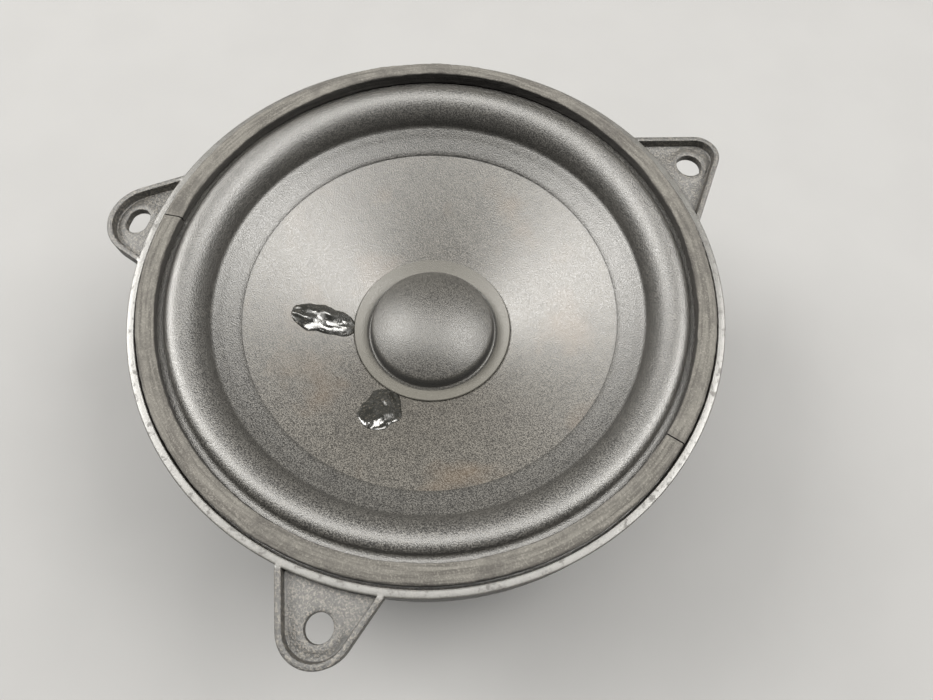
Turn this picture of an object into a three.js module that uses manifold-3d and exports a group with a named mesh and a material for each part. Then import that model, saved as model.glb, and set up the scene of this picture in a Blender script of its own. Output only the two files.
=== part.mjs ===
// A 100 mm class car midrange loudspeaker: moulded basket with three mounting ears, paper cone
// with a dust cap, rubber surround, corrugated spider, voice coil and ring-magnet motor.
// Millimetres, +Z towards the listener. The origin is the centre of the flat back face.
import * as THREE from "three";
import { mergeVertices } from "three/addons/utils/BufferGeometryUtils.js";
import Module from "manifold-3d";

const wasm = await Module();
wasm.setup();

// ---- driving dimensions -------------------------------------------------------------------
const GAP = 0.1; // between pieces that are glued or clamped face to face
const CUT_GAP = 0.3; // between a shaped piece and the surface that it was shaped to
const FINE = 60; // sides of the large turned pieces
const COARSE = 40; // sides of the small turned pieces

const YOKE_PLATE = 3.5;
const MAGNET_HEIGHT = 9;
const TOP_PLATE = 3.5;
const PLATE_TOP = YOKE_PLATE + MAGNET_HEIGHT + TOP_PLATE;
const RIM_Z = PLATE_TOP + 28; // plane of the front rim
const RIM_R = 51.5;
const RIM_BAND = 1.3; // width of the rim's bare top band
const RIM_EDGE = 0.3; // chamfer on the rim's outer edge

const WALL = 2;
const LEDGE = { inner: 46.2, z: RIM_Z - 1.6, thick: 1.6, taper: 3 }; // holds the surround's lip
const FLOOR_Z = PLATE_TOP + WALL;
const FLOOR_R = 17.5;
const SPIDER_LEDGE = { inner: 24.5, outer: 31, z: FLOOR_Z + 2.3 };
// Corners of the basket's wall, as [radius, height]: outside, then inside.
const WAIST = [31.5, PLATE_TOP + 2.3];
const SHOULDER = [48.6, 29.4];
const BEND = [50.6, 31.1];
const WALL_FOOT = [RIM_R, 33];
const INNER_FOOT = [RIM_R - 2.2, 33];
const INNER_BEND = [47.6, 31];
const SKIRT = { outer: 31, low: 0.5, clear: 0.4 }; // rim that hangs round the top plate

const EAR_THICK = 3;
const EAR_POCKET = 1.65;
const EAR_LIP = 1;
const EAR_BOSS = { r: 3.5, rise: 0.2 };
const EAR_ROOT = 13; // how far an ear's sides run in from its tip's centre, to end under the rim
// Each ear is an arc round a point at r, with two sides that flare in to the rim: before is the
// clockwise side, after the other. Its hole is at hole, moved sideways, and slot lengthens it.
const EARS = [
  { angle: 90, r: 59, tip: 4.3, before: 38, after: 28, hole: 57.1, side: -0.7, holeR: 2.4, slot: 0 },
  { angle: 226.3, r: 52.4, tip: 7.5, before: 36, after: 20, hole: 55.3, side: 0, holeR: 1.9, slot: 0.6 },
  { angle: 315, r: 57.1, tip: 5.7, before: 22, after: 19, hole: 57.2, side: 0.3, holeR: 2.15, slot: 0 },
];

const WINDOW = { count: 12, width: 10.5, low: 21.2, high: 27.2, inner: 29 };

const GASKET = { inner: 46.6, outer: 49.9, low: RIM_Z - 0.5, high: RIM_Z + 2.2 };
const GASKET_JOINTS = [24.8, 224.7]; // degrees
const GASKET_SLIT = 0.35; // degrees left open at each joint

const SKIN = 0.5; // surround and dust cap
// The roll is an arch about mid: its outer foot stops high on the lip, its inner foot is lower.
const ROLL = { mid: 42.7, half: 3.75, lipZ: RIM_Z - 0.8, top: RIM_Z + 0.2, outer: 3.6, inner: 4.9 };
const LANDING_R = 34.5; // inner edge of the surround where it laps onto the cone

const CONE_SLOPE = 0.54;
const CONE = { thick: 0.7, neck: 10.6, collar: 0.7, edge: 38.3, collarZ: 21.9 };
const LANDING_DROP = 7.9; // from the rim's plane to the cone's face at the landing
const coneZ = (r) => RIM_Z - LANDING_DROP - (LANDING_R - r) * CONE_SLOPE;

const CAP = { flangeR: 15.25, wallR: 12.4, lean: 0.6, shoulderR: 11.45 };
const CAP_RISE = { wall: 2.9, shoulder: 0.3, apex: 6.5 }; // above the cone, at the cap's foot

const FORMER = { inner: 10, outer: 10.35, low: 10.5, high: 24.2 };
const WINDING = { inner: 10.45, outer: 11.1, half: 3.5 };
const POLE = { r: 9.6, rise: 0.6 }; // rise above the top plate
const BORE_R = 11.5;
const PLATE_R = 28.5;
const MAGNET = { inner: 14, outer: 30 };
const EDGE = 0.6; // chamfer on the motor's turned edges

const SPIDER = { inner: 10.75, outer: 24.6, lipR: 27.6, z: 21.1, wave: 0.8, waves: 3, thick: 0.4 };
const SPIDER_NECK = { width: 1, rise: 0.2 }; // flat ring that grips the former
const RIVET = { shank: 1.2, hole: 1.5, head: 2, headHeight: 0.8, foot: 0.4 };
const RIVET_RING = { count: 3, start: 30, r: 21.5 };

const POCKET = { half: 10.3, back: -37.8, wall: 1.8, low: 15, high: 28.3, cheek: 1.2 };
const HOUSING = { half: 10, back: -38, front: -48.5, low: 17, high: 28, wall: 1.8, side: 2.4, floor: 2 };
const KEYWAY = { half: 1.5, long: 4, deep: 1 }; // notch in the mouth's upper wall
const BLADE = { x: 3.2, width: 2.8, thick: 0.8, front: -44, back: -32.4, z: 22.6, tab: 1.6 };
const BLADE_POINT = { long: 0.6, deep: 0.2 };
const SOLDER = { size: [1.3, 0.85, 0.95], inward: 0.95, up: 2 };
const FOAM = { thick: 2.4, front: -48.3, back: -44.2, low: 17.5, high: 24.8 };
const TAB = { angle: 250, r: 50.8, long: 4.7, wide: 1.6, thick: 0.5, z: 29.2 };

const LEAD_R = 0.55;
const LEAD_AT = { r: 20.5, angle: 31 }; // where a lead meets the cone, degrees either side of -Y
const GLUE = [
  { angle: -119.4, start: 15.5, end: 26.8, width: 5.6, height: 1.7 },
  { angle: -56.3, start: 15.5, end: 25, width: 7.2, height: 1.9 },
];

// ---- tools --------------------------------------------------------------------------------
const rad = THREE.MathUtils.degToRad;

// A closed geometry as a manifold-3d solid.
function solid(geometry) {
  const bare = geometry.index ? geometry.toNonIndexed() : geometry.clone();
  bare.deleteAttribute("normal");
  bare.deleteAttribute("uv");
  const merged = mergeVertices(bare, 1e-4);
  const index = merged.index.array;
  const kept = [];
  for (let i = 0; i < index.length; i += 3) {
    const [a, b, c] = index.subarray(i, i + 3);
    if (a !== b && b !== c && a !== c) kept.push(a, b, c);
  }
  return new wasm.Manifold(
    new wasm.Mesh({
      numProp: 3,
      vertProperties: merged.attributes.position.array,
      triVerts: new Uint32Array(kept),
    }),
  );
}

function toGeometry(made) {
  const mesh = made.getMesh();
  const geometry = new THREE.BufferGeometry();
  geometry.setAttribute("position", new THREE.BufferAttribute(mesh.vertProperties, 3));
  geometry.setIndex(new THREE.BufferAttribute(mesh.triVerts, 1));
  geometry.computeVertexNormals();
  return geometry;
}

// Turns a profile of [radius, height] points, anticlockwise with radius to the right, about Z.
function turned(profile, sides) {
  const points = [...profile, profile[0]].map(([r, z]) => new THREE.Vector2(r, z));
  return solid(new THREE.LatheGeometry(points, sides).rotateX(Math.PI / 2));
}

function disc(radius, low, high, sides = 24) {
  const profile = [
    [0, low],
    [radius, low],
    [radius, high],
    [0, high],
  ];
  return turned(profile, sides);
}

function ring(inner, outer, low, high, sides) {
  const profile = [
    [inner, low],
    [outer, low],
    [outer, high],
    [inner, high],
  ];
  return turned(profile, sides);
}

// A box between two corners.
function block(x0, x1, y0, y1, z0, z1) {
  const box = new THREE.BoxGeometry(x1 - x0, y1 - y0, z1 - z0);
  box.translate((x0 + x1) / 2, (y0 + y1) / 2, (z0 + z1) / 2);
  return solid(box);
}

// Extrudes a shape in X-Y between two heights.
function prism(shape, low, high, curveSegments = 12) {
  const depth = high - low;
  const body = new THREE.ExtrudeGeometry(shape, { depth, bevelEnabled: false, curveSegments });
  return solid(body.translate(0, 0, low));
}

// Gives a line of [radius, height] points, taken from outside to inside, a thickness below it.
function thickened(line, thick) {
  const under = line.map(([r, z], i) => {
    const [r0, z0] = line[Math.max(i - 1, 0)];
    const [r1, z1] = line[Math.min(i + 1, line.length - 1)];
    const run = Math.hypot(r1 - r0, z1 - z0);
    const shifted = r - (thick * (z1 - z0)) / run;
    return [r === 0 ? 0 : shifted, z + (thick * (r1 - r0)) / run];
  });
  return [...line, ...under.reverse()];
}

function finish(color, roughness, metalness = 0, more = {}) {
  return new THREE.MeshStandardMaterial({ color, roughness, metalness, ...more });
}

const FINISHES = {
  basket: () => finish(0x2e2d2b, 0.62),
  gasket: () => finish(0x544e47, 0.95),
  rubber: () => finish(0x2b2b2c, 0.5),
  paper: () => finish(0x3c3b39, 0.75),
  cap: () => finish(0x454443, 0.5),
  glue: () => finish(0x121212, 0.12),
  former: () => finish(0xb08a4c, 0.5),
  copper: () => finish(0xa5562c, 0.35, 0.9),
  spider: () => finish(0xb58d45, 0.9),
  zinc: () => finish(0xa9a89c, 0.35, 0.9),
  ferrite: () => finish(0x252527, 0.7),
  tinsel: () => finish(0xb77a4a, 0.5, 0.5),
  housing: () => finish(0x171717, 0.5),
  tin: () => finish(0xc9c7bf, 0.3, 0.95),
  foam: () => finish(0x4a3826, 1),
  clear: () => finish(0xdfe4ea, 0.3, 0, { transparent: true, opacity: 0.6 }),
};

const speaker = new THREE.Group();

function piece(name, made, look, parent = speaker) {
  const mesh = new THREE.Mesh(toGeometry(made), FINISHES[look]());
  mesh.name = name;
  parent.add(mesh);
  return mesh;
}

// ---- basket -------------------------------------------------------------------------------
// The outside of the wall, from its waist up to the rim.
function wallOutside() {
  return [WAIST, SHOULDER, BEND, WALL_FOOT, [RIM_R, RIM_Z - RIM_EDGE], [RIM_R - RIM_EDGE, RIM_Z]];
}

function basketProfile() {
  const skirtLow = PLATE_TOP - TOP_PLATE + SKIRT.low;
  const skirtInner = PLATE_R + SKIRT.clear;
  const rimInner = RIM_R - RIM_BAND;
  return [
    [skirtInner, skirtLow],
    [SKIRT.outer, skirtLow],
    ...wallOutside(),
    [rimInner, RIM_Z],
    [rimInner, LEDGE.z],
    [LEDGE.inner, LEDGE.z],
    [LEDGE.inner, LEDGE.z - LEDGE.thick],
    [INNER_FOOT[0], LEDGE.z - LEDGE.thick - LEDGE.taper],
    INNER_FOOT,
    INNER_BEND,
    [SPIDER_LEDGE.outer, SPIDER_LEDGE.z],
    [SPIDER_LEDGE.inner, SPIDER_LEDGE.z],
    [SPIDER_LEDGE.inner, FLOOR_Z],
    [FLOOR_R, FLOOR_Z],
    [FLOOR_R, PLATE_TOP + GAP],
    [skirtInner, PLATE_TOP + GAP],
  ];
}

// An ear's outline along +X: an arc at its tip, and two sides that run in under the rim.
function earOutline(ear, inset) {
  const tip = ear.tip - inset;
  const before = rad(ear.before);
  const after = rad(ear.after);
  const side = (flare, sign) => {
    const x = ear.r + tip * Math.sin(flare) - EAR_ROOT;
    const y = sign * (tip * Math.cos(flare) + EAR_ROOT * Math.tan(flare));
    return [x, y];
  };
  const shape = new THREE.Shape();
  shape.moveTo(...side(after, 1));
  shape.lineTo(...side(before, -1));
  shape.absarc(ear.r, 0, tip, before - Math.PI / 2, Math.PI / 2 - after, false);
  shape.closePath();
  return shape;
}

// A round-ended prism about an ear's hole, lengthened across the ear by its slot.
function aboutHole(ear, radius, low, high) {
  const shape = new THREE.Shape();
  shape.moveTo(ear.hole + radius, ear.side - ear.slot);
  shape.lineTo(ear.hole + radius, ear.side + ear.slot);
  shape.absarc(ear.hole, ear.side + ear.slot, radius, 0, Math.PI, false);
  shape.absarc(ear.hole, ear.side - ear.slot, radius, Math.PI, 2 * Math.PI, false);
  return prism(shape, low, high, 14);
}

function earBody(ear) {
  const low = RIM_Z - EAR_THICK;
  const pocketZ = RIM_Z - EAR_POCKET;
  return prism(earOutline(ear, 0), low, RIM_Z, 20)
    .subtract(prism(earOutline(ear, EAR_LIP), pocketZ, RIM_Z + 1, 20))
    .add(aboutHole(ear, EAR_BOSS.r, low, pocketZ + EAR_BOSS.rise))
    .subtract(aboutHole(ear, ear.holeR, low - 1, RIM_Z + 1))
    .subtract(disc(RIM_R - RIM_BAND / 2, low - 1, RIM_Z + 1, FINE))
    .rotate([0, 0, ear.angle]);
}

// The pocket in the cone-shaped wall that holds the connector housing.
function connectorPocket(shell) {
  const { half, back, wall, low, high, cheek } = POCKET;
  const beyond = -RIM_R - 5; // clear of the basket on the connector's side
  const envelope = turned([[0, PLATE_TOP], ...wallOutside(), [0, RIM_Z]], FINE);
  const wide = half + cheek;
  const box = block(-wide, wide, beyond, back + wall, PLATE_TOP + GAP, high + cheek);
  return shell.add(box.intersect(envelope)).subtract(block(-half, half, beyond, back, low, high));
}

function basket() {
  let body = turned(basketProfile(), FINE);
  for (const ear of EARS) body = body.add(earBody(ear));
  body = connectorPocket(body);
  const { width } = WINDOW;
  const cut = block(WINDOW.inner, RIM_R + 1, -width / 2, width / 2, WINDOW.low, WINDOW.high);
  const pitch = 360 / WINDOW.count;
  for (let i = 1; i < WINDOW.count; i += 1) {
    body = body.subtract(cut.rotate([0, 0, -90 + i * pitch]));
  }
  for (const [x, y] of rivetPlaces()) {
    body = body.subtract(disc(RIVET.hole, PLATE_TOP - 1, FLOOR_Z + 1, 16).translate([x, y, 0]));
  }
  const slot = BLADE.width / 2 + GAP;
  const slotLow = BLADE.z - GAP;
  const slotHigh = BLADE.z + BLADE.thick + GAP;
  for (const x of [-BLADE.x, BLADE.x]) {
    body = body.subtract(block(x - slot, x + slot, POCKET.back - 1, BLADE.back, slotLow, slotHigh));
  }
  return body;
}

// ---- gasket: a foam ring in two segments --------------------------------------------------
function gasketSegment(from, to) {
  const start = rad(from + GASKET_SLIT);
  const end = rad(to - GASKET_SLIT);
  const shape = new THREE.Shape();
  shape.absarc(0, 0, GASKET.outer, start, end, false);
  shape.absarc(0, 0, GASKET.inner, end, start, true);
  shape.closePath();
  return prism(shape, GASKET.low, GASKET.high, 26);
}

// ---- moving system ------------------------------------------------------------------------
function surround() {
  const { mid, half, lipZ, top, outer, inner } = ROLL;
  const steps = 8;
  const start = Math.asin(1 - (top - lipZ) / outer);
  const line = [[RIM_R - RIM_BAND - CUT_GAP, lipZ]];
  for (let i = 0; i <= steps; i += 1) {
    const t = start + ((Math.PI - start) * i) / steps;
    const rise = t < Math.PI / 2 ? outer : inner;
    line.push([mid + half * Math.cos(t), top - rise * (1 - Math.sin(t))]);
  }
  line.push([LANDING_R, coneZ(LANDING_R) + CUT_GAP + SKIN]);
  return turned(thickened(line, SKIN), FINE);
}

function cone() {
  const { thick, neck, collar, edge, collarZ } = CONE;
  const collarR = neck + collar;
  const profile = [
    [neck, collarZ],
    [collarR, collarZ],
    [collarR, coneZ(collarR) - thick],
    [edge, coneZ(edge) - thick],
    [edge, coneZ(edge)],
    [neck, coneZ(neck)],
  ];
  return turned(profile, FINE);
}

function dustCap() {
  const { flangeR, wallR, lean, shoulderR } = CAP;
  const { wall, shoulder, apex } = CAP_RISE;
  const top = (r) => coneZ(r) + GAP + SKIN;
  const base = top(wallR);
  const sag = apex - wall - shoulder;
  const crown = (shoulderR ** 2 + sag ** 2) / (2 * sag);
  const line = [
    [flangeR, top(flangeR)],
    [wallR, base],
    [wallR - lean, base + wall],
  ];
  const steps = 5;
  for (let i = 0; i <= steps; i += 1) {
    const r = shoulderR * (1 - i / steps);
    line.push([r, base + apex - crown + Math.sqrt(crown ** 2 - r ** 2)]);
  }
  return turned(thickened(line, SKIN), COARSE);
}

// Glue over the place where a lead passes through the cone, shaped to the cone below it.
function glueBead({ angle, start, end, width, height }) {
  const long = (end - start) / Math.cos(Math.atan(CONE_SLOPE));
  const mid = (start + end) / 2;
  const bead = new THREE.SphereGeometry(0.5, 20, 12).scale(long, width, 2 * height);
  bead.rotateY(-Math.atan(CONE_SLOPE));
  bead.translate(mid, 0, coneZ(mid));
  bead.rotateZ(rad(angle));
  const below = [
    [0, 0],
    [CONE.edge, 0],
    [CONE.edge, coneZ(CONE.edge) + CUT_GAP],
    [0, coneZ(0) + CUT_GAP],
  ];
  return solid(bead).subtract(turned(below, FINE));
}

// ---- spider and motor ---------------------------------------------------------------------
function spider() {
  const { inner, outer, lipR, z, wave, waves, thick } = SPIDER;
  const line = [[lipR, SPIDER_LEDGE.z + GAP + thick]];
  const steps = waves * 2;
  for (let i = 0; i <= steps; i += 1) {
    const r = outer + ((inner + SPIDER_NECK.width - outer) * i) / steps;
    line.push([r, z + wave * Math.cos(i * Math.PI)]);
  }
  line.push([inner, z + SPIDER_NECK.rise]);
  return turned(thickened(line, thick), COARSE);
}

function rivetPlaces() {
  const places = [];
  for (let i = 0; i < RIVET_RING.count; i += 1) {
    const a = rad(RIVET_RING.start + (i * 360) / RIVET_RING.count);
    places.push([RIVET_RING.r * Math.cos(a), RIVET_RING.r * Math.sin(a)]);
  }
  return places;
}

function rivet() {
  const { shank, head, headHeight, foot } = RIVET;
  const low = PLATE_TOP - TOP_PLATE + foot;
  const seat = FLOOR_Z + GAP;
  const profile = [
    [0, low],
    [shank, low],
    [shank, seat],
    [head, seat],
    [head, seat + headHeight * 0.4],
    [head * 0.6, seat + headHeight],
    [0, seat + headHeight],
  ];
  return turned(profile, 16);
}

function topPlate() {
  const low = PLATE_TOP - TOP_PLATE;
  const profile = [
    [BORE_R, low],
    [PLATE_R - EDGE, low],
    [PLATE_R, low + EDGE],
    [PLATE_R, PLATE_TOP],
    [BORE_R, PLATE_TOP],
  ];
  let body = turned(profile, COARSE);
  for (const [x, y] of rivetPlaces()) {
    body = body.subtract(disc(RIVET.hole, low - 1, PLATE_TOP + 1, 16).translate([x, y, 0]));
  }
  return body;
}

function magnetRing() {
  const low = YOKE_PLATE + GAP;
  const high = YOKE_PLATE + MAGNET_HEIGHT - GAP;
  const profile = [
    [MAGNET.inner, low],
    [MAGNET.outer - EDGE, low],
    [MAGNET.outer, low + EDGE],
    [MAGNET.outer, high - EDGE],
    [MAGNET.outer - EDGE, high],
    [MAGNET.inner, high],
  ];
  return turned(profile, COARSE);
}

function yoke() {
  const poleTop = PLATE_TOP + POLE.rise;
  const profile = [
    [0, 0],
    [PLATE_R - EDGE, 0],
    [PLATE_R, EDGE],
    [PLATE_R, YOKE_PLATE],
    [POLE.r, YOKE_PLATE],
    [POLE.r, poleTop - EDGE],
    [POLE.r - EDGE, poleTop],
    [0, poleTop],
  ];
  return turned(profile, COARSE);
}

// ---- connector and leads ------------------------------------------------------------------
function connectorHousing() {
  const { half, back, front, low, high, wall, side, floor } = HOUSING;
  const slot = BLADE.width / 2 + GAP;
  const mouth = half - side;
  let open = block(-half, half, front, back, low, high);
  open = open.subtract(block(-mouth, mouth, front - 1, back - floor, low + wall, high - wall));
  for (const x of [-BLADE.x, BLADE.x]) {
    const [z0, z1] = [BLADE.z - GAP, BLADE.z + BLADE.thick + GAP];
    open = open.subtract(block(x - slot, x + slot, back - floor - 1, back + 1, z0, z1));
  }
  // A key notch in the mouth's upper wall, so that the plug goes in one way up.
  const key = KEYWAY;
  const keyLow = high - wall - key.deep;
  return open.subtract(block(-key.half, key.half, front - 1, front + key.long, keyLow, high + 1));
}

// A flat blade that ends in an upturned solder tab inside the basket.
function terminalBlade() {
  const { front, back, z, thick, tab } = BLADE;
  const { long, deep } = BLADE_POINT;
  const shape = new THREE.Shape();
  shape.moveTo(front, z + deep);
  shape.lineTo(front + long, z);
  shape.lineTo(back, z);
  shape.lineTo(back, z + thick + tab);
  shape.lineTo(back - thick, z + thick + tab);
  shape.lineTo(back - thick, z + thick);
  shape.lineTo(front + long, z + thick);
  shape.lineTo(front, z + thick - deep);
  shape.closePath();
  const body = new THREE.ExtrudeGeometry(shape, { depth: BLADE.width, bevelEnabled: false });
  // The shape's X runs along Y and its Y runs along Z.
  const turn = new THREE.Matrix4().makeBasis(
    new THREE.Vector3(0, 1, 0),
    new THREE.Vector3(0, 0, 1),
    new THREE.Vector3(1, 0, 0),
  );
  return solid(body.applyMatrix4(turn).translate(-BLADE.width / 2, 0, 0));
}

function solderJoint() {
  return solid(new THREE.SphereGeometry(1, 12, 8).scale(...SOLDER.size));
}

// A lead's route on the +X side, from its solder joint in a slack bow up to the cone's back.
function leadRoute() {
  const a = rad(-90 + LEAD_AT.angle);
  const [x, y] = [LEAD_AT.r * Math.cos(a), LEAD_AT.r * Math.sin(a)];
  const top = coneZ(LEAD_AT.r) - CONE.thick - CUT_GAP - 0.5;
  return [
    [BLADE.x, BLADE.back + 2.1, BLADE.z + 2.3],
    [BLADE.x + 1.2, BLADE.back + 4.6, BLADE.z + 2.6],
    [BLADE.x + 3.6, y - 6.5, 23.7],
    [x - 1.3, y - 2.6, 23.9],
    [x - 0.1, y - 0.3, 25.6],
    [x, y, top],
  ];
}

function tinselLead(side) {
  const points = leadRoute().map(([x, y, z]) => new THREE.Vector3(side * x, y, z));
  const section = new THREE.Shape();
  section.absarc(0, 0, LEAD_R, 0, 2 * Math.PI, false);
  const extrudePath = new THREE.CatmullRomCurve3(points);
  const settings = { steps: 14, curveSegments: 4, bevelEnabled: false, extrudePath };
  return solid(new THREE.ExtrudeGeometry(section, settings));
}

// A small clear tab that stands out of the basket's lower wall beside the connector.
function clearTab() {
  const half = TAB.wide / 2;
  const shape = new THREE.Shape();
  shape.moveTo(0, -half);
  shape.lineTo(TAB.long - half, -half);
  shape.absarc(TAB.long - half, 0, half, -Math.PI / 2, Math.PI / 2, false);
  shape.lineTo(0, half);
  shape.closePath();
  return prism(shape, 0, TAB.thick, 8);
}

// ---- assembly -----------------------------------------------------------------------------
const [jointA, jointB] = GASKET_JOINTS;
piece("basket", basket(), "basket");
piece("gasket_segment_1", gasketSegment(jointA, jointB), "gasket");
piece("gasket_segment_2", gasketSegment(jointB, jointA + 360), "gasket");
piece("surround", surround(), "rubber");
piece("cone", cone(), "paper");
piece("dust_cap", dustCap(), "cap");
GLUE.forEach((bead, i) => piece(`lead_glue_${i + 1}`, glueBead(bead), "glue"));
const { inner, outer, low, high } = FORMER;
piece("coil_former", ring(inner, outer, low, high, COARSE), "former");
const coilMid = PLATE_TOP - TOP_PLATE / 2;
const coilEnds = [coilMid - WINDING.half, coilMid + WINDING.half];
piece("coil_winding", ring(WINDING.inner, WINDING.outer, ...coilEnds, COARSE), "copper");
piece("spider", spider(), "spider");
piece("top_plate", topPlate(), "zinc");
piece("magnet_ring", magnetRing(), "ferrite");
piece("yoke", yoke(), "zinc");
rivetPlaces().forEach(([x, y], i) => {
  piece(`plate_rivet_${i + 1}`, rivet(), "tin").position.set(x, y, 0);
});

const connector = new THREE.Group();
speaker.add(connector);
piece("connector_housing", connectorHousing(), "housing", connector);
[-1, 1].forEach((side, i) => {
  piece(`terminal_blade_${i + 1}`, terminalBlade(), "tin", connector).position.x = side * BLADE.x;
  const joint = piece(`solder_joint_${i + 1}`, solderJoint(), "tin", connector);
  joint.position.set(side * BLADE.x, BLADE.back + SOLDER.inward, BLADE.z + SOLDER.up);
  piece(`tinsel_lead_${i + 1}`, tinselLead(side), "tinsel", connector);
});
const foamInner = -HOUSING.half - GAP;
const foam = block(foamInner - FOAM.thick, foamInner, FOAM.front, FOAM.back, FOAM.low, FOAM.high);
piece("connector_foam", foam, "foam", connector);

const tab = piece("clear_tab", clearTab(), "clear");
const tabAngle = rad(TAB.angle);
tab.position.set(TAB.r * Math.cos(tabAngle), TAB.r * Math.sin(tabAngle), TAB.z);
tab.rotation.z = tabAngle;

export default speaker;
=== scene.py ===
"""The looks of a 100 mm class car midrange speaker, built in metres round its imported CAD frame.

Heights and radii are worked out from the CAD nodes' boxes. MM turns millimetres into metres. The speaker's
axis is Z, the connector faces -Y, and the camera and lights stand VIEW_TURN round from -Y.
"""

import math

import bmesh
import bpy
from mathutils import Matrix, Vector, noise


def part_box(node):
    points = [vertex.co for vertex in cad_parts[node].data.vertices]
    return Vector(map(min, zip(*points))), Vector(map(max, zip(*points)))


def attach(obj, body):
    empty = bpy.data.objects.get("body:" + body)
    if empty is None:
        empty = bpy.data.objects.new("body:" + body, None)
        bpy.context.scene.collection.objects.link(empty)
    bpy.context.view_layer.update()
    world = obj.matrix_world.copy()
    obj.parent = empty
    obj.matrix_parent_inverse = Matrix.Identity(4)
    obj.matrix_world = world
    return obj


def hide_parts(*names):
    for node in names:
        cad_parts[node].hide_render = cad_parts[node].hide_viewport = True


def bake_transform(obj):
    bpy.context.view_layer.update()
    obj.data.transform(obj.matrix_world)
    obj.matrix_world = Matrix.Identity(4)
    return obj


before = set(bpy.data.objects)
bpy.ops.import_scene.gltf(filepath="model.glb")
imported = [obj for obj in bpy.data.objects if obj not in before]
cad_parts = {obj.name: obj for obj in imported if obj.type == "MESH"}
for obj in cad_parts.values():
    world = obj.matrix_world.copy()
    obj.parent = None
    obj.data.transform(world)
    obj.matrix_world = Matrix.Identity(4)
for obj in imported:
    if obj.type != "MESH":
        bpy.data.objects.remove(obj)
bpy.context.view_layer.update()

MM = 0.001
SIDES = 240  # sides of the largest turned pieces
ROUND = 192  # sides of those inside
VIEW_TURN = math.radians(57)
TO_VIEW = Matrix.Rotation(VIEW_TURN, 4, "Z")


# ---- dimensions read from the frame, in millimetres ----
def mm_box(node):
    low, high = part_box(node)
    return low / MM, high / MM


def outer_r(node):
    return mm_box(node)[1].x


RIM_R = outer_r("basket")
RIM_Z = mm_box("basket")[1].z
GASKET_LOW, GASKET_HIGH = (corner.z for corner in mm_box("gasket_segment_1"))
PLATE_LOW, PLATE_TOP = (corner.z for corner in mm_box("top_plate"))
PLATE_R = outer_r("top_plate")
YOKE_TOP = mm_box("yoke")[1].z
MAGNET_LOW, MAGNET_HIGH = (corner.z for corner in mm_box("magnet_ring"))
MAGNET_R = outer_r("magnet_ring")
CONE_R = outer_r("cone")
CONE_EDGE_Z = mm_box("cone")[1].z
CONE_COLLAR_Z = mm_box("cone")[0].z
CONE_SLOPE = 0.54
CONE_THICK = 0.7
CONE_NECK = 10.6  # inside radius of the cone's collar
RIM_BAND = 1.3  # width of the bare band on top of the rim
LIP_R = outer_r("surround")
LIP_Z = RIM_Z - 0.8
ROLL_MID = 42.25
ROLL_HALF = 3.15
ROLL_RISE = 3.2  # height of the roll above a line between its two feet
VALLEY_Z = RIM_Z - 4.7  # the roll's inner foot
LANDING_R = 34.5  # where the surround ends on the cone
SKIN = 0.5  # thickness of the CAD's dust cap
RUBBER = 0.28  # thickness of the surround
CAP_R = outer_r("dust_cap")
# An ear is an arc of radius tip round a point at r, with sides that flare in to the rim by before and after
# degrees. Its hole has its own centre, side mm off the ear's line, and slot lengthens it across the ear.
EAR_TERMS = ("angle", "r", "tip", "before", "after", "hole", "side", "hole_r", "slot")
EARS = [dict(zip(EAR_TERMS, terms)) for terms in (
    (90, 59, 4.3, 38, 28, 57.1, -0.7, 2.4, 0),
    (226.3, 52.4, 7.5, 36, 20, 55.3, 0, 1.9, 0.6),
    (315, 57.1, 5.7, 22, 19, 57.2, 0.3, 2.15, 0),
)]


def cone_z(r):
    """Height of the cone's front face at radius r."""
    return CONE_EDGE_Z - (CONE_R - r) * CONE_SLOPE


# ---- mesh tools ----
def add_object(name, data):
    obj = bpy.data.objects.new(name, data)
    bpy.context.scene.collection.objects.link(obj)
    return obj


def new_object(name, mesh_maker):
    bm = bmesh.new()
    mesh_maker(bm)
    mesh = bpy.data.meshes.new(name)
    bm.to_mesh(mesh)
    bm.free()
    return add_object(name, mesh)


def shade(obj, angle=35):
    """Smooth shading that breaks at edges sharper than angle, in degrees."""
    obj.data.shade_smooth()
    obj.data.set_sharp_from_angle(angle=math.radians(angle))
    return obj


def rounded(points, radius, steps=4):
    """A closed outline with each corner rounded. A radius may be one number, or one for each corner."""
    made = []
    count = len(points)
    for i, point in enumerate(points):
        here = Vector(point)
        to_last = Vector(points[i - 1]) - here
        to_next = Vector(points[(i + 1) % count]) - here
        size = radius[i] if isinstance(radius, (list, tuple)) else radius
        size = min(size, 0.45 * to_last.length, 0.45 * to_next.length)
        if size <= 0 or here.x <= 0:
            made.append(tuple(here))
            continue
        a = here + to_last.normalized() * size
        b = here + to_next.normalized() * size
        for k in range(steps + 1):
            t = k / steps
            curve = a * (1 - t) ** 2 + here * 2 * t * (1 - t) + b * t * t
            made.append(tuple(curve))
    return made


def block(inner, outer, low, high):
    """The plain section of a ring: its four corners, for lathe."""
    return [(inner, low), (outer, low), (outer, high), (inner, high)]


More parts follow.
